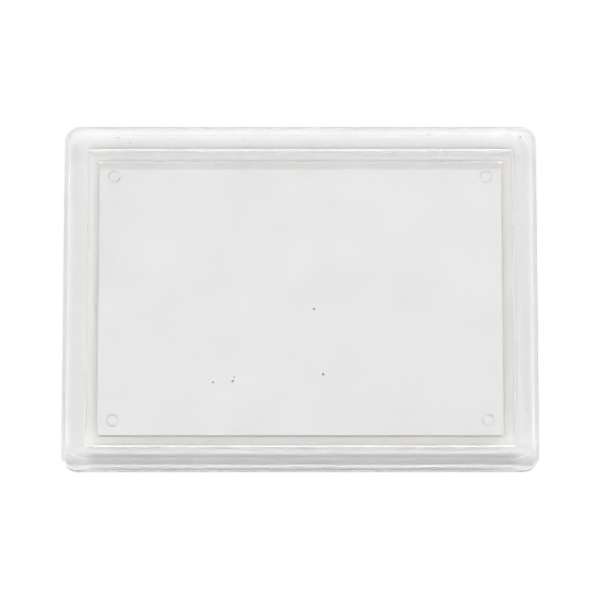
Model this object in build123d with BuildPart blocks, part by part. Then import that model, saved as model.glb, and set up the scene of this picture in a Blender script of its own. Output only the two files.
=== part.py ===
"""Clear magnetic photo frame, upright as it hangs on a steel door.

X runs along the width, Z is up and the window faces -Y. The origin is the centre of the
magnet's back face, which lies on the steel. Plane.XZ.offset(h) is the plane that stands
h in front of the steel, so every height below is a distance from the steel, in millimetres.
"""

import os
from math import cos, pi, sin, radians, tan

from build123d import *

os.makedirs("parts", exist_ok=True)

# The print that the frame is made for, and its play in the recess on each side
print_width = 100.0
print_height = 70.0
print_play = 0.25

# Front shell: solid rim, window, drafted sides and crowned front edge
rim_width = 5.5
window_thickness = 2.5
outline_corner_radius = 3.6
face_corner_radius = 4.4
crown_radius = 2.9
back_edge_radius = 0.35
crown_steps = 6

# Back insert: shallow clear tray, open towards the steel
insert_wall = 2.3
insert_floor = 2.2
insert_lead_in = 0.1
lead_in_angle = 45.0

# Flexible magnet and the white foam tape that bonds it into the insert
magnet_thickness = 2.0
foam_thickness = 1.0
sheet_corner_radius = 0.8

# Fits and clearances
print_slot = 0.4
insert_fit = 0.2
magnet_gap = 0.3
magnet_stand_out = 0.1
glue_line = 0.02

# Crush ribs that grip the insert in the recess
rib_radius = 0.9
rib_stand_out = 0.15
rib_length = 3.4
rib_count_long = 3
rib_count_short = 2

# Ring marks that the ejector pins leave in the insert's floor
pin_diameter = 3.0
pin_ring_width = 0.35
pin_mark_depth = 0.12
pin_inset = 3.5

# Mould draft of every wall that slides out of the tool
draft_angle = 0.5
draft_share = tan(radians(draft_angle))

# Heights in front of the steel
back_height = magnet_stand_out
foam_back_height = magnet_thickness
cavity_floor_height = magnet_thickness + foam_thickness + glue_line
insert_front_height = cavity_floor_height + insert_floor
window_back_height = insert_front_height + print_slot
front_height = window_back_height + window_thickness
shoulder_height = front_height - crown_radius

# Depths of the recess, the insert and its cavity
recess_depth = window_back_height - back_height
insert_depth = insert_front_height - back_height
cavity_depth = cavity_floor_height - back_height

# Sizes at the back plane, where each drafted wall stands widest
recess_flare = recess_depth * draft_share
recess_width = print_width + 2 * (print_play + recess_flare)
recess_height = print_height + 2 * (print_play + recess_flare)
insert_width = recess_width - 2 * insert_fit
insert_height = recess_height - 2 * insert_fit
cavity_width = insert_width - 2 * insert_wall
cavity_height = insert_height - 2 * insert_wall
outer_width = recess_width + 2 * rim_width
outer_height = recess_height + 2 * rim_width
shoulder_inset = (shoulder_height - back_height) * draft_share
lead_in_height = insert_front_height - insert_lead_in
lead_in_inset = (lead_in_height - back_height) * draft_share

# Magnet and foam share one outline, set by the narrow end of the cavity
sheet_margin = cavity_depth * draft_share + magnet_gap
sheet_width = cavity_width - 2 * sheet_margin
sheet_height = cavity_height - 2 * sheet_margin


# Front shell: a solid block with a crowned front edge, hollowed from the back.
# The flat of the face has rounder corners than the outline, so the crown is a loft.
with BuildPart() as front_shell:
    # Drafted side walls, from the back plane to the shoulder
    with BuildSketch(Plane.XZ.offset(back_height)):
        RectangleRounded(outer_width, outer_height, outline_corner_radius)
    with BuildSketch(Plane.XZ.offset(shoulder_height)):
        RectangleRounded(
            outer_width - 2 * shoulder_inset,
            outer_height - 2 * shoulder_inset,
            outline_corner_radius,
        )
    loft(ruled=True)
    # Crown, through outlines set on a quarter circle
    for step in range(crown_steps + 1):
        turn_share = step / crown_steps
        rise = crown_radius * sin(turn_share * pi / 2)
        inset = shoulder_inset + crown_radius * (1 - cos(turn_share * pi / 2))
        corner_growth = (face_corner_radius - outline_corner_radius) * turn_share
        with BuildSketch(Plane.XZ.offset(shoulder_height + rise)):
            RectangleRounded(
                outer_width - 2 * inset,
                outer_height - 2 * inset,
                outline_corner_radius + corner_growth,
            )
    loft()
    # Rounded edge round the back
    back_face = front_shell.faces().sort_by(Axis.Y)[-1]
    fillet(back_face.edges(), radius=back_edge_radius)
    # Recess for the print and the insert, with sharp corners
    with BuildSketch(Plane.XZ.offset(back_height)):
        Rectangle(recess_width, recess_height)
    extrude(amount=recess_depth, taper=draft_angle, mode=Mode.SUBTRACT)
front_shell.part.label = "front_shell"
export_step(front_shell.part, "parts/front_shell.step")


# Back insert: a clear tray that closes the recess and presses on the print.
with BuildPart() as back_insert:
    with BuildSketch(Plane.XZ.offset(back_height)):
        Rectangle(insert_width, insert_height)
    extrude(amount=insert_depth - insert_lead_in, taper=draft_angle)
    # Lead-in round the face that goes into the recess first
    with BuildSketch(Plane.XZ.offset(lead_in_height)):
        Rectangle(insert_width - 2 * lead_in_inset, insert_height - 2 * lead_in_inset)
    extrude(amount=insert_lead_in, taper=lead_in_angle)
    # Cavity that holds the foam and the magnet
    with BuildSketch(Plane.XZ.offset(back_height)):
        Rectangle(cavity_width, cavity_height)
    extrude(amount=cavity_depth, taper=draft_angle, mode=Mode.SUBTRACT)
    # Ring marks of the four ejector pins, near the corners of the cavity's floor
    pin_span_x = sheet_width - 2 * pin_inset
    pin_span_z = sheet_height - 2 * pin_inset
    with BuildSketch(Plane.XZ.offset(cavity_floor_height)):
        with GridLocations(pin_span_x, pin_span_z, 2, 2):
            Circle(pin_diameter / 2)
            Circle(pin_diameter / 2 - pin_ring_width, mode=Mode.SUBTRACT)
    extrude(amount=pin_mark_depth, mode=Mode.SUBTRACT)
    # Crush ribs on the long walls, then on the short ones
    rib_pitch_x = insert_width / rib_count_long
    rib_pitch_z = insert_height / rib_count_short
    rib_sink = rib_radius - rib_stand_out
    with BuildSketch(Plane.XZ.offset(back_height)):
        with GridLocations(rib_pitch_x, insert_height - 2 * rib_sink, rib_count_long, 2):
            Circle(rib_radius)
        with GridLocations(insert_width - 2 * rib_sink, rib_pitch_z, 2, rib_count_short):
            Circle(rib_radius)
    extrude(amount=rib_length, taper=draft_angle)
back_insert.part.label = "back_insert"
export_step(back_insert.part, "parts/back_insert.step")


# Foam tape: white, as large as the magnet, between the magnet and the insert's floor.
with BuildPart() as foam_tape:
    with BuildSketch(Plane.XZ.offset(foam_back_height)):
        RectangleRounded(sheet_width, sheet_height, sheet_corner_radius)
    extrude(amount=foam_thickness)
foam_tape.part.label = "foam_tape"
export_step(foam_tape.part, "parts/foam_tape.step")


# Magnet sheet: flexible ferrite rubber, its back a hair in front of the plastic's.
with BuildPart() as magnet_sheet:
    with BuildSketch(Plane.XZ):
        RectangleRounded(sheet_width, sheet_height, sheet_corner_radius)
    extrude(amount=magnet_thickness)
magnet_sheet.part.label = "magnet_sheet"
export_step(magnet_sheet.part, "parts/magnet_sheet.step")

print(f"outer size {outer_width:.2f} x {outer_height:.2f} x {front_height:.2f} mm")
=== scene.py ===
# %% [markdown]
# # A clear magnetic photo frame
#
# The real object is a thick window with a rounded rim, moulded in clear plastic, and a shallow
# clear tray that is pressed into its back. A white foam tape bonds a magnet sheet into the tray.
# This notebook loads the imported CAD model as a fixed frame, and then makes the looks: smooth
# clear mouldings, foam, magnet, a white steel panel behind them, and soft studio light.
# Everything is in metres. X is the width, Z is up, and the window faces -Y.

from math import cos, pi, radians, sin, tan

import bmesh
import bpy
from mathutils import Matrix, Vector


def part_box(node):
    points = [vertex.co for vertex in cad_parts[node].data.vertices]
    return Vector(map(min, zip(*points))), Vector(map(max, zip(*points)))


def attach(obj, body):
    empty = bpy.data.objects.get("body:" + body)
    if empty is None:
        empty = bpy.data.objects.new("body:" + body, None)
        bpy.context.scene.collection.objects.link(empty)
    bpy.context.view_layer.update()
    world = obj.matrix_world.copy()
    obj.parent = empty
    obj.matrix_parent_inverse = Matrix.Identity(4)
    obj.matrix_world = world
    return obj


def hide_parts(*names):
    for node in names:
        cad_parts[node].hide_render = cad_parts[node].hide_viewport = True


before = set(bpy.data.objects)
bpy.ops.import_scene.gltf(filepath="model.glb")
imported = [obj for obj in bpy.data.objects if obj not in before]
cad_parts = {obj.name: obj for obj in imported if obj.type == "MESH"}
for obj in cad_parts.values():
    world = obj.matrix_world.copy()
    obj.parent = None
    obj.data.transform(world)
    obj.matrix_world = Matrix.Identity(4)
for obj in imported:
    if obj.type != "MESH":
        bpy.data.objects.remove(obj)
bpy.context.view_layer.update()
scene = bpy.context.scene
mm = 0.001

# %% [markdown]
# ## Sizes
#
# The outer sizes are read from the CAD nodes, so the looks can't drift away from them. The few
# sizes that a box can't tell, such as the wall of the tray, are repeated here by name.

# %% Sizes from the frame
shell_low, shell_high = [Vector(corner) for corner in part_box("front_shell")]
foam_low, foam_high = [Vector(corner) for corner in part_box("foam_tape")]
magnet_low, magnet_high = [Vector(corner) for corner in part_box("magnet_sheet")]

outer_width = shell_high.x - shell_low.x
outer_height = shell_high.z - shell_low.z
sheet_width = foam_high.x - foam_low.x
sheet_height = foam_high.z - foam_low.z
back_height = -shell_high.y
front_height = -shell_low.y
print(f"shell {outer_width / mm:.2f} x {outer_height / mm:.2f} x {front_height / mm:.2f} mm")

# %% Sizes of the mouldings
rim_width = 5.5 * mm
window_thickness = 2.5 * mm
outline_corner_radius = 3.6 * mm
face_corner_radius = 4.4 * mm
crown_radius = 2.9 * mm
back_edge_radius = 0.35 * mm
insert_wall = 2.3 * mm
insert_floor = 2.2 * mm
insert_lead_in = 0.1 * mm
insert_fit = 0.2 * mm
print_slot = 0.4 * mm
draft_share = tan(radians(0.5))

# %% Heights and widths that follow from them
shoulder_height = front_height - crown_radius
window_back_height = front_height - window_thickness
insert_front_height = window_back_height - print_slot
cavity_floor_height = insert_front_height - insert_floor
recess_width = outer_width - 2 * rim_width
recess_height = outer_height - 2 * rim_width
insert_width = recess_width - 2 * insert_fit
insert_height = recess_height - 2 * insert_fit
cavity_width = insert_width - 2 * insert_wall
cavity_height = insert_height - 2 * insert_wall
print(f"recess {recess_width / mm:.2f} x {recess_height / mm:.2f} mm")

# %% [markdown]
# ## Helpers for node trees
#
# Materials and Geometry Nodes are both node trees. One short function adds a node, sets it and
# links its inputs, so a tree below reads as a list of its steps. Another makes a group with named
# sockets, which can be tuned from outside, in a modifier or in a material.

# %% Node helper
def add_node(tree, kind, inputs=None, **settings):
    """A node with its settings, and its inputs set to a value or linked to a socket."""
    node = tree.nodes.new(kind)
    for name, value in settings.items():
        setattr(node, name, value)
    for key, value in (inputs or {}).items():
        if isinstance(value, bpy.types.NodeSocket):
            tree.links.new(value, node.inputs[key])
        else:
            node.inputs[key].default_value = value
    return node


# %% Group helper
def new_group(name, kind, inputs, outputs):
    """A group with named sockets: its tree, the sockets it is given and its output node."""
    tree = bpy.data.node_groups.new(name, kind)
    for label, (socket, value) in inputs.items():
        item = tree.interface.new_socket(label, in_out="INPUT", socket_type=socket)
        if value is not None:
            item.default_value = value
    for label, socket in outputs.items():
        tree.interface.new_socket(label, in_out="OUTPUT", socket_type=socket)
    return tree, add_node(tree, "NodeGroupInput").outputs, add_node(tree, "NodeGroupOutput")


# %% Short forms of the nodes used most
def maths(tree, operation, a, b=0.0):
    return add_node(tree, "ShaderNodeMath", {0: a, 1: b}, operation=operation).outputs[0]


def remap(tree, value, low, high, to_low=0.0, to_high=1.0):
    """The value, moved from one range to another and held inside it."""
    sockets = {0: value, 1: low, 2: high, 3: to_low, 4: to_high}
    return add_node(tree, "ShaderNodeMapRange", sockets).outputs[0]


def noise(tree, place, scale, detail=2.0):
    sockets = {"Vector": place, "Scale": scale, "Detail": detail}
    return add_node(tree, "ShaderNodeTexNoise", sockets).outputs["Fac"]


# %% [markdown]
# ## Marks of handling
#
# Clear plastic is never blank. Rubbing leaves hairline scratches, fingers leave soft smudges, and
# the melt leaves a slow waviness where it cooled. One shader group makes all three from the
# object's own coordinates in metres, and both mouldings and the magnet share it.

# %% Hairline scratches
hairline_width = 0.02 * mm
peak_start = 0.74
peak_full = 0.78


def hairlines(tree, place, turn, length):
    """Fine lines: noise that is stretched along one direction and cut off near its peak."""
    stretch = (1 / length, 1 / length, 1 / hairline_width)
    turned = add_node(tree, "ShaderNodeMapping", {"Vector": place, "Rotation": (0, turn, 0)})
    drawn = add_node(tree, "ShaderNodeMapping", {"Vector": turned.outputs[0], "Scale": stretch})
    return remap(tree, noise(tree, drawn.outputs[0], 1.0, 1.0), peak_start, peak_full)


# %% Handling group
long_scratch = 5 * mm
long_scratch_turn = 0.6
short_scratch = 3 * mm
short_scratch_turn = -1.0
rubbed_patch = 14 * mm
wave_length = 7 * mm


def handling_group():
    tree, given, result = new_group(
        "handling_marks",
        "ShaderNodeTree",
        {
            "Vector": ("NodeSocketVector", None),
            "Wear": ("NodeSocketFloat", 0.5),
            "Smudge Size": ("NodeSocketFloat", 9 * mm),
        },
        {
            "Scratches": "NodeSocketFloat",
            "Smudges": "NodeSocketFloat",
            "Waviness": "NodeSocketFloat",
        },
    )
    place = given["Vector"]
    long_lines = hairlines(tree, place, long_scratch_turn, long_scratch)
    short_lines = hairlines(tree, place, short_scratch_turn, short_scratch)
    lines = maths(tree, "MAXIMUM", long_lines, short_lines)
    rubbed = remap(tree, noise(tree, place, 1 / rubbed_patch), 0.62, 0.4)
    rubbed = maths(tree, "GREATER_THAN", maths(tree, "MULTIPLY", rubbed, given["Wear"]), 0.3)
    tree.links.new(maths(tree, "MULTIPLY", lines, rubbed), result.inputs["Scratches"])
    smudge_scale = maths(tree, "DIVIDE", 1.0, given["Smudge Size"])
    smudges = remap(tree, noise(tree, place, smudge_scale, 4.0), 0.45, 0.75)
    tree.links.new(smudges, result.inputs["Smudges"])
    tree.links.new(noise(tree, place, 1 / wave_length, 0.0), result.inputs["Waviness"])
    return tree


handling_marks = handling_group()
print("handling group:", len(handling_marks.nodes), "nodes")

# %% [markdown]
# ## Grain
#
# Foam has closed cells and ferrite rubber has mineral grains. Both are a cell pattern, so a
# second group makes cells of a given size, mixes two colours over them and gives their height.

# %% Grain group
def grain_group():
    tree, given, result = new_group(
        "grain",
        "ShaderNodeTree",
        {
            "Vector": ("NodeSocketVector", None),
            "Cell Size": ("NodeSocketFloat", 0.2 * mm),
            "Patch Size": ("NodeSocketFloat", 8 * mm),
            "Light": ("NodeSocketColor", (1, 1, 1, 1)),
            "Dark": ("NodeSocketColor", (0, 0, 0, 1)),
        },
        {"Color": "NodeSocketColor", "Height": "NodeSocketFloat"},
    )
    place = given["Vector"]
    cell_scale = maths(tree, "DIVIDE", 1.0, given["Cell Size"])
    cells = add_node(tree, "ShaderNodeTexVoronoi", {"Vector": place, "Scale": cell_scale})
    height = remap(tree, cells.outputs["Distance"], 0.15, 0.85)
    patches = noise(tree, place, maths(tree, "DIVIDE", 1.0, given["Patch Size"]), 3.0)
    share = maths(tree, "MULTIPLY", remap(tree, patches, 0.3, 0.7, 0.3, 1.0), height)
    mixed = add_node(
        tree,
        "ShaderNodeMix",
        {0: share, 6: given["Light"], 7: given["Dark"]},
        data_type="RGBA",
    )
    tree.links.new(mixed.outputs[2], result.inputs["Color"])
    tree.links.new(height, result.inputs["Height"])
    return tree


grain = grain_group()
print("grain group:", len(grain.nodes), "nodes")

# %% [markdown]
# ## Clear plastic
#
# Both mouldings are solid, so light really bends at each face, and their colour comes from depth:
# in the tray, Volume Absorption takes a little blue out of every millimetre. That is why its wall,
# seen along its depth, reads as a beige band, while the thin window stays colourless. Haze is
# kept very low, because four polished faces lie between the eye and the foam.

# %% Clear plastic material
ior_of_acrylic = 1.49
scratch_depth = 0.002 * mm
wave_depth = 0.002 * mm
smudge_haze = 0.02
scratch_haze = 0.2


def clear_plastic(name, clean, touched, depth_colour, density, wear):
    material = bpy.data.materials.new(name)
    material.use_nodes = True
    tree = material.node_tree
    surface = tree.nodes["Principled BSDF"]
    place = add_node(tree, "ShaderNodeTexCoord").outputs["Object"]
    marks = add_node(tree, "ShaderNodeGroup", node_tree=handling_marks)
    marks.inputs["Wear"].default_value = wear
    tree.links.new(place, marks.inputs["Vector"])
    scratches, smudges, waviness = marks.outputs

    colours = {0: smudges, 6: (*clean, 1), 7: (*touched, 1)}
    tint = add_node(tree, "ShaderNodeMix", colours, data_type="RGBA")
    tree.links.new(tint.outputs[2], surface.inputs["Base Color"])
    haze = maths(tree, "MULTIPLY", smudges, smudge_haze)
    rough = maths(tree, "ADD", haze, maths(tree, "MULTIPLY", scratches, scratch_haze))
    tree.links.new(rough, surface.inputs["Roughness"])
    waves = add_node(tree, "ShaderNodeBump", {"Height": waviness, "Distance": wave_depth})
    cuts = {"Height": maths(tree, "SUBTRACT", 1.0, scratches), "Distance": scratch_depth}
    cut = add_node(tree, "ShaderNodeBump", cuts | {"Normal": waves.outputs[0]})
    tree.links.new(cut.outputs[0], surface.inputs["Normal"])
    surface.inputs["IOR"].default_value = ior_of_acrylic
    surface.inputs["Transmission Weight"].default_value = 1

    depth = {"Color": (*depth_colour, 1), "Density": density}
    volume = add_node(tree, "ShaderNodeVolumeAbsorption", depth)
    tree.links.new(volume.outputs[0], tree.nodes["Material Output"].inputs["Volume"])
    return material


# %% Two plastics
shell_plastic = clear_plastic(
    "clear_shell_plastic", (0.998, 0.998, 1.0), (0.99, 0.99, 0.993), (0.96, 0.95, 1.0), 4, 0.9
)
insert_plastic = clear_plastic(
    "clear_insert_plastic", (1.0, 0.998, 0.995), (0.99, 0.987, 0.98), (1.0, 0.86, 0.64), 15, 0.4
)
print("plastics:", shell_plastic.name, insert_plastic.name)

# %% [markdown]
# ## Foam tape and magnet
#
# The foam is a matt closed-cell sheet. A painted shadow darkens a band along its top edge, and
# rings at the ejector marks are darker too, where the adhesive doesn't wet the tray.
# The magnet is ferrite powder in rubber: brown black, a little glossy, with faint lighter stripes
# every 2 mm that are a painted sheen, and the scuff marks of a rolled sheet.

# %% Rings on the foam
pin_inset = 3.5 * mm
pin_radius = 1.5 * mm
pin_ring_width = 0.35 * mm
ring_blur = 0.08 * mm
ring_patch = 1.5 * mm


def pin_marks(tree, place):
    """Rings where the tray's four ejector grooves keep the adhesive off the foam."""
    parts = add_node(tree, "ShaderNodeSeparateXYZ", {0: place}).outputs
    offsets = []
    for axis, span in (("X", sheet_width), ("Z", sheet_height)):
        away = maths(tree, "ABSOLUTE", parts[axis])
        offset = maths(tree, "SUBTRACT", away, span / 2 - pin_inset)
        offsets.append(maths(tree, "MULTIPLY", offset, offset))
    distance = maths(tree, "SQRT", maths(tree, "ADD", *offsets))
    middle = pin_radius - pin_ring_width / 2
    off_ring = maths(tree, "ABSOLUTE", maths(tree, "SUBTRACT", distance, middle))
    half_width = pin_ring_width / 2
    ring = remap(tree, off_ring, half_width, half_width + ring_blur, 1.0, 0.0)
    broken = remap(tree, noise(tree, place, 1 / ring_patch), 0.4, 0.6, 0.2, 1.0)
    return maths(tree, "MULTIPLY", ring, broken)


# %% Foam material
foam_cell = 0.16 * mm
foam_relief = 0.02 * mm
# Painted shadow along the foam's top edge: its width, ragged lower edge and darkness.
top_shadow_width = 1.6 * mm
shadow_edge_step = 0.5 * mm
shadow_edge_wave = 5 * mm
shadow_edge_blur = 0.25 * mm
shadow_strength = 0.5


def foam_material():
    material = bpy.data.materials.new("white_foam")
    material.use_nodes = True
    tree = material.node_tree
    surface = tree.nodes["Principled BSDF"]
    place = add_node(tree, "ShaderNodeTexCoord").outputs["Object"]
    cells = add_node(tree, "ShaderNodeGroup", node_tree=grain)
    cells.inputs["Cell Size"].default_value = foam_cell
    cells.inputs["Light"].default_value = (0.76, 0.765, 0.775, 1)
    cells.inputs["Dark"].default_value = (0.71, 0.715, 0.725, 1)
    tree.links.new(place, cells.inputs["Vector"])

    # Painted shadow: a darker band along the top edge of the foam, with a ragged lower edge.
    height = add_node(tree, "ShaderNodeSeparateXYZ", {0: place}).outputs["Z"]
    ragged = maths(tree, "MULTIPLY", noise(tree, place, 1 / shadow_edge_wave), shadow_edge_step)
    edge = maths(tree, "ADD", height, ragged)
    top_shadow_start = sheet_height / 2 - top_shadow_width
    top_shadow_mask = remap(tree, edge, top_shadow_start, top_shadow_start + shadow_edge_blur)
    top_shadow_mask = maths(tree, "MULTIPLY", top_shadow_mask, shadow_strength)
    shadow_and_dry_rings = maths(tree, "MAXIMUM", top_shadow_mask, pin_marks(tree, place))
    shadow_mix = {0: shadow_and_dry_rings, 6: cells.outputs["Color"], 7: (0.49, 0.495, 0.495, 1)}
    colour = add_node(tree, "ShaderNodeMix", shadow_mix, data_type="RGBA")
    tree.links.new(colour.outputs[2], surface.inputs["Base Color"])
    surface.inputs["Roughness"].default_value = 0.9
    relief = {"Height": cells.outputs["Height"], "Distance": foam_relief}
    bump = add_node(tree, "ShaderNodeBump", relief)
    tree.links.new(bump.outputs[0], surface.inputs["Normal"])
    return material


foam_white = foam_material()
print("foam:", len(foam_white.node_tree.nodes), "nodes")

# %% Magnet material
# Painted sheen: faint lighter stripes across the magnet, their spacing and strength.
sheen_stripe_pitch = 2.0 * mm
sheen_stripe_strength = 0.12
ferrite_grain = 0.12 * mm
ferrite_relief = 0.012 * mm


def magnet_material():
    material = bpy.data.materials.new("ferrite_rubber")
    material.use_nodes = True
    tree = material.node_tree
    surface = tree.nodes["Principled BSDF"]
    place = add_node(tree, "ShaderNodeTexCoord").outputs["Object"]
    grains = add_node(tree, "ShaderNodeGroup", node_tree=grain)
    grains.inputs["Cell Size"].default_value = ferrite_grain
    grains.inputs["Light"].default_value = (0.075, 0.06, 0.052, 1)
    grains.inputs["Dark"].default_value = (0.03, 0.024, 0.021, 1)
    tree.links.new(place, grains.inputs["Vector"])
    marks = add_node(tree, "ShaderNodeGroup", node_tree=handling_marks)
    marks.inputs["Wear"].default_value = 1.0
    tree.links.new(place, marks.inputs["Vector"])

    # Painted sheen: lighter stripes across the sheet, added to the scratches.
    across = add_node(tree, "ShaderNodeSeparateXYZ", {0: place}).outputs["X"]
    phase = maths(tree, "MULTIPLY", across, 2 * pi / sheen_stripe_pitch)
    sheen_stripes = remap(tree, maths(tree, "SINE", phase), 0.8, 1.0)
    sheen_stripes = maths(tree, "MULTIPLY", sheen_stripes, sheen_stripe_strength)
    scuffs_and_sheen = maths(tree, "ADD", marks.outputs["Scratches"], sheen_stripes)
    scuff_and_sheen_colours = {0: scuffs_and_sheen, 6: grains.outputs["Color"], 7: (0.13, 0.11, 0.1, 1)}
    colour = add_node(tree, "ShaderNodeMix", scuff_and_sheen_colours, data_type="RGBA")
    tree.links.new(colour.outputs[2], surface.inputs["Base Color"])
    gloss = remap(tree, marks.outputs["Smudges"], 0.0, 1.0, 0.62, 0.42)
    tree.links.new(gloss, surface.inputs["Roughness"])
    relief = {"Height": grains.outputs["Height"], "Distance": ferrite_relief}
    bump = add_node(tree, "ShaderNodeBump", relief)
    tree.links.new(bump.outputs[0], surface.inputs["Normal"])
    return material


magnet_brown = magnet_material()
print("magnet:", len(magnet_brown.node_tree.nodes), "nodes")

# %% Dust material
dust_patch = 0.3 * mm


def dust_material():
    material = bpy.data.materials.new("dust")
    material.use_nodes = True
    tree = material.node_tree
    surface = tree.nodes["Principled BSDF"]
    place = add_node(tree, "ShaderNodeTexCoord").outputs["Object"]
    shade = noise(tree, place, 1 / dust_patch)
    colours = {0: shade, 6: (0.02, 0.019, 0.018, 1), 7: (0.16, 0.15, 0.14, 1)}
    colour = add_node(tree, "ShaderNodeMix", colours, data_type="RGBA")
    tree.links.new(colour.outputs[2], surface.inputs["Base Color"])
    surface.inputs["Roughness"].default_value = 0.85
    return material


dust = dust_material()

# %% [markdown]
# ## A loft through rounded rectangles
#
# Every piece of this frame is a stack of rounded rectangles, so one helper makes them all. Each
# outline has the same number of points, and the points of neighbouring outlines are joined by
# quads. Clear plastic shows every facet of its back through its front, so the corners get many
# points, and the normals are weighted by area, which keeps flat faces truly flat.

# %% Outline helper
corner_steps = 24


def outline(width, height, radius, y):
    """Points of a rounded rectangle at depth y, anticlockwise as seen from the front."""
    points = []
    sides = ((1, 1), (-1, 1), (-1, -1), (1, -1))
    for quarter, (side_x, side_z) in enumerate(sides):
        for step in range(corner_steps + 1):
            angle = (quarter + step / corner_steps) * pi / 2
            x = side_x * (width / 2 - radius) + radius * cos(angle)
            z = side_z * (height / 2 - radius) + radius * sin(angle)
            points.append(Vector((x, y, z)))
    return points


# %% Loft helper
merge_distance = 0.001 * mm


def lofted_mesh(name, outlines):
    """A closed mesh through the outlines, capped at both ends."""
    work = bmesh.new()
    loops = [[work.verts.new(point) for point in points] for points in outlines]
    for near, far in zip(loops, loops[1:]):
        for start in range(len(near)):
            end = (start + 1) % len(near)
            work.faces.new((near[start], far[start], far[end], near[end]))
    work.faces.new(loops[0])
    work.faces.new(list(reversed(loops[-1])))
    bmesh.ops.remove_doubles(work, verts=work.verts, dist=merge_distance)
    bmesh.ops.recalc_face_normals(work, faces=work.faces)
    mesh = bpy.data.meshes.new(name)
    work.to_mesh(mesh)
    work.free()
    return mesh


# %% Object and modifier helpers
smooth_angle = radians(24)


def new_piece(name, mesh):
    piece = bpy.data.objects.new(name, mesh)
    scene.collection.objects.link(piece)
    return piece


def apply_modifiers(piece):
    """Swaps the mesh for what the modifiers make of it."""
    graph = bpy.context.evaluated_depsgraph_get()
    piece.data = bpy.data.meshes.new_from_object(piece.evaluated_get(graph))
    piece.data.name = piece.name
    piece.modifiers.clear()


def finish_piece(piece, material):
    """Smooth curves, flat faces and one material."""
    piece.data.shade_smooth()
    piece.data.set_sharp_from_angle(angle=smooth_angle)
    weighted = piece.modifiers.new("Flat faces", "WEIGHTED_NORMAL")
    weighted.keep_sharp = True
    weighted.weight = 100
    apply_modifiers(piece)
    piece.data.materials.clear()
    piece.data.materials.append(material)
    print(f"{piece.name}: {len(piece.data.polygons)} faces")


# %% [markdown]
# ## Front shell
#
# The shell is one block with a crown round its front: a quarter circle whose corners open from
# 3.6 mm at the outline to 4.4 mm at the face. The loft runs from the face over the crown, down
# the drafted side, round the back edge, and then back in through the recess, so the outside and
# the inside are one closed skin. The mouth of the recess has a small radius, as moulds do.

# %% Front shell outlines
crown_steps = 20
fillet_steps = 6
mouth_radius = 0.1 * mm


def crown_outlines():
    """From the flat of the face out to the shoulder."""
    rings = []
    shoulder_inset = (shoulder_height - back_height) * draft_share
    corner_growth = face_corner_radius - outline_corner_radius
    for step in range(crown_steps, -1, -1):
        turn_share = step / crown_steps
        turn = turn_share * pi / 2
        inset = shoulder_inset + crown_radius * (1 - cos(turn))
        rings.append(outline(
            outer_width - 2 * inset,
            outer_height - 2 * inset,
            outline_corner_radius + corner_growth * turn_share,
            -(shoulder_height + crown_radius * sin(turn)),
        ))
    return rings


def back_edge_outlines():
    """Round the back edge, from the side wall to the back plane."""
    rings = []
    for step in range(fillet_steps + 1):
        turn = step / fillet_steps * pi / 2
        inset = back_edge_radius * (draft_share + 1 - cos(turn))
        rings.append(outline(
            outer_width - 2 * inset,
            outer_height - 2 * inset,
            outline_corner_radius - inset,
            -(back_height + back_edge_radius * (1 - sin(turn))),
        ))
    return rings


def recess_outlines():
    """Over the mouth, up the drafted walls and to the window's back face."""
    rings = []
    for step in range(fillet_steps + 1):
        turn = step / fillet_steps * pi / 2
        grow = mouth_radius * (1 - sin(turn))
        rings.append(outline(
            recess_width + 2 * grow,
            recess_height + 2 * grow,
            0,
            -(back_height + mouth_radius * (1 - cos(turn))),
        ))
    inset = (window_back_height - back_height) * draft_share
    rings.append(outline(
        recess_width - 2 * inset,
        recess_height - 2 * inset,
        0,
        -window_back_height,
    ))
    return rings


# %% Front shell piece
shell_rings = crown_outlines() + back_edge_outlines() + recess_outlines()
shell = new_piece("shell_moulding", lofted_mesh("shell_moulding", shell_rings))
finish_piece(shell, shell_plastic)
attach(shell, "shell")
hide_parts("front_shell")

# %% [markdown]
# ## Back insert
#
# The tray starts as a loft too. What repeats on it comes from Geometry Nodes: a grid of points
# stands in the wall plane and carries a detail on each point. Ring grooves, the marks of four
# ejector pins, are cut out of the tray's floor, and crush ribs are joined to its outer walls.

# %% Back insert outlines
def insert_outlines():
    lead_in_height = insert_front_height - insert_lead_in
    lead_in_inset = (lead_in_height - back_height) * draft_share
    front_inset = lead_in_inset + insert_lead_in
    cavity_inset = (cavity_floor_height - back_height) * draft_share
    corners = (
        (insert_width - 2 * front_inset, insert_height - 2 * front_inset, insert_front_height),
        (insert_width - 2 * lead_in_inset, insert_height - 2 * lead_in_inset, lead_in_height),
        (insert_width, insert_height, back_height),
        (cavity_width, cavity_height, back_height),
        (cavity_width - 2 * cavity_inset, cavity_height - 2 * cavity_inset, cavity_floor_height),
    )
    return [outline(width, height, 0, -level) for width, height, level in corners]


# %% Grid of details in the wall plane
def stand_on_grid(tree, detail, size_x, size_z, columns, rows, depth):
    """Instances of the detail on a grid, turned from the XY plane into the wall plane."""
    grid = add_node(
        tree,
        "GeometryNodeMeshGrid",
        {"Size X": size_x, "Size Y": size_z, "Vertices X": columns, "Vertices Y": rows},
    )
    copies = {"Points": grid.outputs["Mesh"], "Instance": detail}
    placed = add_node(tree, "GeometryNodeInstanceOnPoints", copies)
    shift = add_node(tree, "ShaderNodeCombineXYZ", {"Y": depth})
    turned = {
        "Geometry": placed.outputs[0],
        "Translation": shift.outputs[0],
        "Rotation": (pi / 2, 0, 0),
    }
    return add_node(tree, "GeometryNodeTransform", turned).outputs[0]


def close_tree(tree, geometry, given, result):
    """The last two steps of every tree here: Realize Instances and Set Material."""
    real = add_node(tree, "GeometryNodeRealizeInstances", {0: geometry})
    final = {"Geometry": real.outputs[0], "Material": given["Material"]}
    dressed = add_node(tree, "GeometryNodeSetMaterial", final)
    tree.links.new(dressed.outputs[0], result.inputs["Geometry"])


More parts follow.
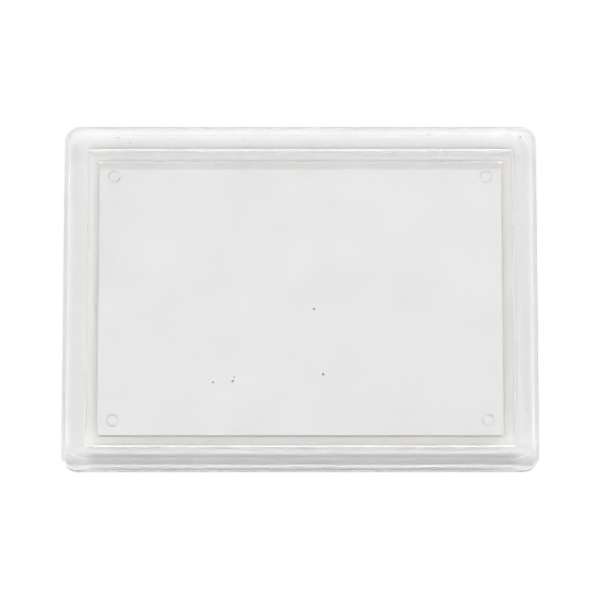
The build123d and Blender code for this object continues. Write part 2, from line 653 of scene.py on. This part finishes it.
# %% Ring grooves
def ring_tree():
    tree, given, result = new_group(
        "ejector_rings",
        "GeometryNodeTree",
        {
            "Geometry": ("NodeSocketGeometry", None),
            "Span X": ("NodeSocketFloat", 0.08),
            "Span Z": ("NodeSocketFloat", 0.05),
            "Floor": ("NodeSocketFloat", 0.0),
            "Radius": ("NodeSocketFloat", 1.5 * mm),
            "Groove Width": ("NodeSocketFloat", 0.35 * mm),
            "Groove Depth": ("NodeSocketFloat", 0.12 * mm),
            "Material": ("NodeSocketMaterial", None),
        },
        {"Geometry": "NodeSocketGeometry"},
    )
    middle = maths(tree, "SUBTRACT", given["Radius"], maths(tree, "DIVIDE", given["Groove Width"], 2.0))
    path = add_node(tree, "GeometryNodeCurvePrimitiveCircle", {"Resolution": 96, "Radius": middle})
    section = {
        "Width": given["Groove Width"],
        "Height": maths(tree, "MULTIPLY", given["Groove Depth"], 2.0),
    }
    profile = add_node(tree, "GeometryNodeCurvePrimitiveQuadrilateral", section)
    swept = {"Curve": path.outputs["Curve"], "Profile Curve": profile.outputs[0]}
    ring = add_node(tree, "GeometryNodeCurveToMesh", swept).outputs[0]
    rings = stand_on_grid(tree, ring, given["Span X"], given["Span Z"], 2, 2, given["Floor"])
    solid = add_node(tree, "GeometryNodeRealizeInstances", {0: rings}).outputs[0]
    cut = add_node(
        tree,
        "GeometryNodeMeshBoolean",
        {"Mesh 1": given["Geometry"], "Mesh 2": solid},
        operation="DIFFERENCE",
        solver="EXACT",
    )
    close_tree(tree, cut.outputs[0], given, result)
    return tree


# %% Crush ribs
def rib_tree():
    tree, given, result = new_group(
        "crush_ribs",
        "GeometryNodeTree",
        {
            "Geometry": ("NodeSocketGeometry", None),
            "Long Span": ("NodeSocketFloat", 0.066),
            "Long Distance": ("NodeSocketFloat", 0.07),
            "Short Span": ("NodeSocketFloat", 0.035),
            "Short Distance": ("NodeSocketFloat", 0.1),
            "Start": ("NodeSocketFloat", 0.0),
            "Radius": ("NodeSocketFloat", 0.9 * mm),
            "Tip Radius": ("NodeSocketFloat", 0.87 * mm),
            "Length": ("NodeSocketFloat", 3.4 * mm),
            "Material": ("NodeSocketMaterial", None),
        },
        {"Geometry": "NodeSocketGeometry"},
    )
    shape = {
        "Vertices": 48,
        "Radius Top": given["Tip Radius"],
        "Radius Bottom": given["Radius"],
        "Depth": given["Length"],
    }
    rib = add_node(tree, "GeometryNodeMeshCone", shape).outputs["Mesh"]
    start = given["Start"]
    on_long = stand_on_grid(tree, rib, given["Long Span"], given["Long Distance"], 3, 2, start)
    on_short = stand_on_grid(tree, rib, given["Short Distance"], given["Short Span"], 2, 2, start)
    both = add_node(tree, "GeometryNodeJoinGeometry", {0: on_short})
    tree.links.new(on_long, both.inputs[0])
    solid = add_node(tree, "GeometryNodeRealizeInstances", {0: both.outputs[0]}).outputs[0]
    union = add_node(
        tree,
        "GeometryNodeMeshBoolean",
        {"Mesh 2": given["Geometry"]},
        operation="UNION",
        solver="EXACT",
    )
    tree.links.new(solid, union.inputs["Mesh 2"])
    close_tree(tree, union.outputs[0], given, result)
    return tree


# %% Modifier helper
def add_tree(piece, tree, values):
    """A Geometry Nodes modifier whose inputs are set by their names."""
    modifier = piece.modifiers.new(tree.name, "NODES")
    modifier.node_group = tree
    for item in tree.interface.items_tree:
        if item.in_out == "INPUT" and item.name in values:
            modifier[item.identifier] = values[item.name]


# %% Back insert piece
rib_radius = 0.9 * mm
rib_stand_out = 0.15 * mm
rib_sink = rib_radius - rib_stand_out
rib_length = 3.4 * mm
rib_start = 0.05 * mm

insert = new_piece("insert_moulding", lofted_mesh("insert_moulding", insert_outlines()))
add_tree(insert, rib_tree(), {
    "Long Span": insert_width * 2 / 3,
    "Long Distance": insert_height - 2 * rib_sink,
    "Short Span": insert_height / 2,
    "Short Distance": insert_width - 2 * rib_sink,
    "Start": -(back_height + rib_start),
    "Radius": rib_radius - rib_start * draft_share,
    "Tip Radius": rib_radius - rib_length * draft_share,
    "Length": rib_length - rib_start,
    "Material": insert_plastic,
})
add_tree(insert, ring_tree(), {
    "Span X": sheet_width - 2 * pin_inset,
    "Span Z": sheet_height - 2 * pin_inset,
    "Floor": -cavity_floor_height,
    "Radius": pin_radius,
    "Groove Width": pin_ring_width,
    "Material": insert_plastic,
})
apply_modifiers(insert)
levels = [-vert.co.y for vert in insert.data.vertices if abs(vert.co.z) < sheet_height / 2]
groove_top = max(level for level in levels if level < cavity_floor_height + insert_floor / 2)
print(f"groove depth {(groove_top - cavity_floor_height) / mm:.3f} mm")
finish_piece(insert, insert_plastic)
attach(insert, "insert")
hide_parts("back_insert")

# %% [markdown]
# ## Foam and magnet sheets
#
# Both sheets are die cut, so their faces are flat and their edges are slightly pulled round by
# the blade. They are lofts as well, with a quarter circle of 0.08 mm at each edge.

# %% Sheet outlines
sheet_corner_radius = 0.8 * mm
cut_edge_radius = 0.08 * mm


def sheet_outlines(low, high):
    rings = []
    turns = [step / fillet_steps * pi / 2 for step in range(fillet_steps + 1)]
    edges = [(1 - sin(turn), low.y + cut_edge_radius * (1 - cos(turn))) for turn in turns]
    edges += [(1 - cos(turn), high.y - cut_edge_radius * (1 - sin(turn))) for turn in turns]
    for share, y in edges:
        inset = share * cut_edge_radius
        width = high.x - low.x - 2 * inset
        height = high.z - low.z - 2 * inset
        rings.append(outline(width, height, sheet_corner_radius - inset, y))
    return rings


# %% Sheet pieces
foam = new_piece("foam_pad", lofted_mesh("foam_pad", sheet_outlines(foam_low, foam_high)))
finish_piece(foam, foam_white)
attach(foam, "insert")
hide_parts("foam_tape")

magnet = new_piece("magnet_pad", lofted_mesh("magnet_pad", sheet_outlines(magnet_low, magnet_high)))
finish_piece(magnet, magnet_brown)
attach(magnet, "insert")
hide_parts("magnet_sheet")

# %% [markdown]
# ## Dust
#
# The photo shows a few dark specks, some in the field of the window and some in the rim. The
# first lie in the slot between the window and the tray, and are moved down a little, because the
# view is tilted. Their places are listed. One Geometry Nodes tree puts an irregular grain on each
# point of a small mesh, with its size from an attribute and a seeded turn.

# %% Dust tree
def dust_tree():
    tree, given, result = new_group(
        "dust_grains",
        "GeometryNodeTree",
        {
            "Geometry": ("NodeSocketGeometry", None),
            "Flatness": ("NodeSocketFloat", 0.1),
            "Roughness": ("NodeSocketFloat", 0.5),
            "Seed": ("NodeSocketInt", 3),
            "Material": ("NodeSocketMaterial", None),
        },
        {"Geometry": "NodeSocketGeometry"},
    )
    ball = add_node(tree, "GeometryNodeMeshIcoSphere", {"Radius": 0.5, "Subdivisions": 3})
    place = add_node(tree, "GeometryNodeInputPosition").outputs[0]
    lumps = remap(tree, noise(tree, place, 1.6), 0.3, 0.7, -1.0, 0.5)
    push = maths(tree, "MULTIPLY", lumps, given["Roughness"])
    offset = add_node(tree, "ShaderNodeVectorMath", {0: place, "Scale": push}, operation="SCALE")
    rough = {"Geometry": ball.outputs["Mesh"], "Offset": offset.outputs[0]}
    grain_mesh = add_node(tree, "GeometryNodeSetPosition", rough)
    size = add_node(tree, "GeometryNodeInputNamedAttribute", {"Name": "size"}).outputs[0]
    thin = maths(tree, "MULTIPLY", size, given["Flatness"])
    scale = add_node(tree, "ShaderNodeCombineXYZ", {"X": size, "Y": thin, "Z": size})
    turn = add_node(
        tree,
        "FunctionNodeRandomValue",
        {0: (0, 0, 0), 1: (0, 2 * pi, 0), "Seed": given["Seed"]},
        data_type="FLOAT_VECTOR",
    )
    copies = {
        "Points": given["Geometry"],
        "Instance": grain_mesh.outputs[0],
        "Rotation": turn.outputs[0],
        "Scale": scale.outputs[0],
    }
    placed = add_node(tree, "GeometryNodeInstanceOnPoints", copies)
    smooth = add_node(tree, "GeometryNodeSetShadeSmooth", {0: placed.outputs[0]})
    close_tree(tree, smooth.outputs[0], given, result)
    return tree


# %% Dust pieces
dust_grains = dust_tree()


def dust_piece(name, spots, flatness, seed):
    """Spots are (x, y, z, size) in millimetres."""
    mesh = bpy.data.meshes.new(name)
    mesh.from_pydata([Vector(spot[:3]) * mm for spot in spots], [], [])
    sizes = mesh.attributes.new("size", "FLOAT", "POINT")
    for number, spot in enumerate(spots):
        sizes.data[number].value = spot[3] * mm
    piece = new_piece(name, mesh)
    add_tree(piece, dust_grains, {"Flatness": flatness, "Seed": seed, "Material": dust})
    apply_modifiers(piece)
    piece.data.materials.clear()
    piece.data.materials.append(dust)
    print(f"{name}: {len(spots)} grains, {len(piece.data.polygons)} faces")
    return piece


# %% Dust in the slot
above_tray = 0.05
slot_depth = -(insert_front_height / mm + above_tray)
parallax = 0.22
slot_spots = [
    (3.24, -2.65, 0.52), (-20.37, -19.98, 0.46), (-15.85, -19.67, 0.50), (5.35, -18.10, 0.54),
    (-15.45, -18.75, 0.34), (-14.39, 16.99, 0.30), (-17.59, 16.89, 0.20), (-14.04, 20.31, 0.19),
    (-14.06, 15.39, 0.20), (8.39, -21.58, 0.20), (41.58, 9.92, 0.22), (-12.49, 18.74, 0.18),
]
slot_dust = dust_piece(
    "slot_dust", [(x, slot_depth, z - parallax, size) for x, z, size in slot_spots], 0.2, 3
)
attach(slot_dust, "insert")

# %% Dust in the rim
rim_spots = [
    (-43.1, -6.6, 37.9, 0.30), (-40.2, -7.3, 36.6, 0.26), (30.3, -6.4, 38.6, 0.28),
    (51.9, -6.3, 38.0, 0.30), (52.8, -6.9, -27.0, 0.24), (-13.6, -7.4, 37.2, 0.18),
]
rim_dust = dust_piece("rim_dust", rim_spots, 0.5, 8)
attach(rim_dust, "shell")

# %% [markdown]
# ## Studio
#
# The frame hangs just in front of a white steel panel. The panel shows pure white to the camera
# and plain matt paint to all other light, so the clear rim shows greys; below the bottom of the
# recess the paint is darker, a painted shadow behind the bottom rim. It has no back, so the frame
# can be seen from behind too, and matt and shadow rays that start close to it pass through, so it
# doesn't shade the back of the magnet. A pale floor lies below.

# %% Stage helper
panel_gap = 2 * mm
panel_half = 1.5
floor_height = -0.2


def stage_plane(name, corners, material):
    mesh = bpy.data.meshes.new(name)
    mesh.from_pydata(corners, [], [(0, 1, 2, 3)])
    mesh.materials.append(material)
    new_piece(name, mesh)


# %% Panel paint
close_range = 9 * mm
# Painted shadow: the panel's paint is darker below the bottom of the recess, behind the bottom rim.
painted_shadow_start = -recess_height / 2 - 0.2 * mm
painted_shadow_end = painted_shadow_start + 1.5 * mm
painted_shadow_paint = 0.69
plain_paint = 0.84


def panel_paint():
    """White for the camera, matt with a painted shadow at its foot for other light, and nothing at all
    from behind.
    """
    material = bpy.data.materials.new("white_panel")
    material.use_nodes = True
    tree = material.node_tree
    tree.nodes.clear()
    rays = add_node(tree, "ShaderNodeLightPath").outputs
    side = add_node(tree, "ShaderNodeNewGeometry").outputs["Backfacing"]
    place = add_node(tree, "ShaderNodeTexCoord").outputs["Object"]
    height = add_node(tree, "ShaderNodeSeparateXYZ", {0: place}).outputs["Z"]
    # Painted shadow at the foot, fading up into the plain paint.
    shade = remap(tree, height, painted_shadow_start, painted_shadow_end, painted_shadow_paint, plain_paint)
    paint = add_node(tree, "ShaderNodeBsdfDiffuse", {"Color": shade})
    glow = add_node(tree, "ShaderNodeEmission", {"Strength": 1.0})
    clear = add_node(tree, "ShaderNodeBsdfTransparent")
    seen = {0: rays["Is Camera Ray"], 1: paint.outputs[0], 2: glow.outputs[0]}
    front = add_node(tree, "ShaderNodeMixShader", seen).outputs[0]
    matt_ray = maths(tree, "MAXIMUM", rays["Is Diffuse Ray"], rays["Is Shadow Ray"])
    close = maths(tree, "LESS_THAN", rays["Ray Length"], close_range)
    leaves = maths(tree, "MULTIPLY", matt_ray, close)
    through = maths(tree, "MAXIMUM", side, leaves)
    whole = add_node(tree, "ShaderNodeMixShader", {0: through, 1: front, 2: clear.outputs[0]})
    add_node(tree, "ShaderNodeOutputMaterial", {"Surface": whole.outputs[0]})
    return material


# %% Floor paint
floor_glow = 0.8


def floor_paint():
    """Pale and matt, lifted towards white where the camera sees it, so shadows stay faint."""
    material = bpy.data.materials.new("pale_floor")
    material.use_nodes = True
    tree = material.node_tree
    surface = tree.nodes["Principled BSDF"]
    surface.inputs["Base Color"].default_value = (0.7, 0.7, 0.7, 1)
    surface.inputs["Roughness"].default_value = 0.8
    camera_ray = add_node(tree, "ShaderNodeLightPath").outputs["Is Camera Ray"]
    surface.inputs["Emission Color"].default_value = (1, 1, 1, 1)
    glow = maths(tree, "MULTIPLY", camera_ray, floor_glow)
    tree.links.new(glow, surface.inputs["Emission Strength"])
    return material


# %% Panel and floor
stage_plane(
    "steel_panel",
    [
        (-panel_half, panel_gap, floor_height),
        (panel_half, panel_gap, floor_height),
        (panel_half, panel_gap, panel_half),
        (-panel_half, panel_gap, panel_half),
    ],
    panel_paint(),
)
stage_plane(
    "pale_floor",
    [
        (-panel_half, -panel_half, floor_height),
        (panel_half, -panel_half, floor_height),
        (panel_half, panel_half, floor_height),
        (-panel_half, panel_half, floor_height),
    ],
    floor_paint(),
)

# %% [markdown]
# ## World
#
# The world has two levels. Matt surfaces are lit by an even, dim room. Gloss and clear plastic
# look straight at the walls: white all round, but dim towards the camera's side, because the flat
# window would mirror a bright wall there as a veil over the foam. The camera itself sees white.

# %% World
room_level = 0.24
front_level = 0.3
round_level = 1.5
front_start = -0.95
front_end = -0.7

world = bpy.data.worlds.new("soft_studio")
scene.world = world
world.use_nodes = True
tree = world.node_tree
rays = add_node(tree, "ShaderNodeLightPath").outputs
camera_ray = rays["Is Camera Ray"]
direct = maths(tree, "LESS_THAN", rays["Diffuse Depth"], 0.5)
heading = add_node(tree, "ShaderNodeTexCoord").outputs["Generated"]
backward = add_node(tree, "ShaderNodeSeparateXYZ", {0: heading}).outputs["Y"]
seen_level = remap(tree, backward, front_start, front_end, front_level, round_level)
seen_level = maths(tree, "MAXIMUM", seen_level, camera_ray)
strength = remap(tree, direct, 0.0, 1.0, room_level, seen_level)
tree.nodes["Background"].inputs["Color"].default_value = (1, 1, 1, 1)
tree.links.new(strength, tree.nodes["Background"].inputs["Strength"])

# %% [markdown]
# ## Lamps
#
# Clear plastic shows the shapes of the lights more than its own. Long strips above and at the
# sides draw the streaks along the rims, and a broad lamp in front lights the foam.

# %% Softboxes
def softbox(name, place, size, power, glossy=True):
    data = bpy.data.lights.new(name, "AREA")
    data.shape = "RECTANGLE"
    data.size, data.size_y = size
    data.energy = power
    lamp = bpy.data.objects.new(name, data)
    lamp.location = place
    lamp.rotation_euler = (-Vector(place)).to_track_quat("-Z", "Y").to_euler()
    lamp.visible_glossy = glossy
    scene.collection.objects.link(lamp)


def above(angle):
    """A place one metre away, tilted up from the straight view by the angle in degrees."""
    return (0, -cos(radians(angle)), sin(radians(angle)))


# %% Lamps
softbox("front_fill", (0, -1, 0.05), (0.5, 0.5), 1.45, glossy=False)
softbox("top_30", above(30), (1.4, 0.14), 1.0)
softbox("top_42", above(42), (1.4, 0.14), 1.0)
softbox("upper_left", (-0.58, -0.57, 0.58), (0.5, 0.5), 0.65)
softbox("upper_right", (0.58, -0.57, 0.58), (0.5, 0.5), 0.58)
softbox("top_tube", above(62), (1.6, 0.04), 1.3)
softbox("left_tube", (-0.94, -0.30, 0.16), (0.05, 0.7), 1.6)
softbox("right_tube", (0.90, -0.42, 0.16), (0.05, 0.7), 1.6)
softbox("low_tube", (0, -0.62, -0.17), (1.2, 0.03), 0.8)
softbox("back_fill", (-0.5, 0.9, 0.6), (0.8, 0.8), 8)

# %% [markdown]
# ## Camera
#
# The photo looks slightly up at the frame: its bottom side shows and its top side doesn't. The
# angle, distance and lens were fitted to the corners of the outline and the window.

# %% Camera
camera_distance = 0.7
camera_elevation = radians(-8.3)
target = Vector((-0.08 * mm, -front_height, -1.05 * mm))
lens_length = 179.4
sensor_width = 36

camera_data = bpy.data.cameras.new("camera")
camera_data.lens = lens_length
camera_data.sensor_width = sensor_width
camera = bpy.data.objects.new("camera", camera_data)
view = Vector((0, -cos(camera_elevation), sin(camera_elevation)))
camera.location = target + camera_distance * view
camera.rotation_euler = (-view).to_track_quat("-Z", "Y").to_euler()
scene.collection.objects.link(camera)
scene.camera = camera

# %% [markdown]
# ## Light paths
#
# Light reaches the foam through four faces and leaves through four more, so the bounces are
# raised. Filter Glossy would blur and darken such paths, and is off.

# %% Render settings
scene.view_settings.view_transform = "Standard"
scene.cycles.max_bounces = 24
scene.cycles.transmission_bounces = 24
scene.cycles.glossy_bounces = 12
scene.cycles.blur_glossy = 0
scene.cycles.use_adaptive_sampling = False
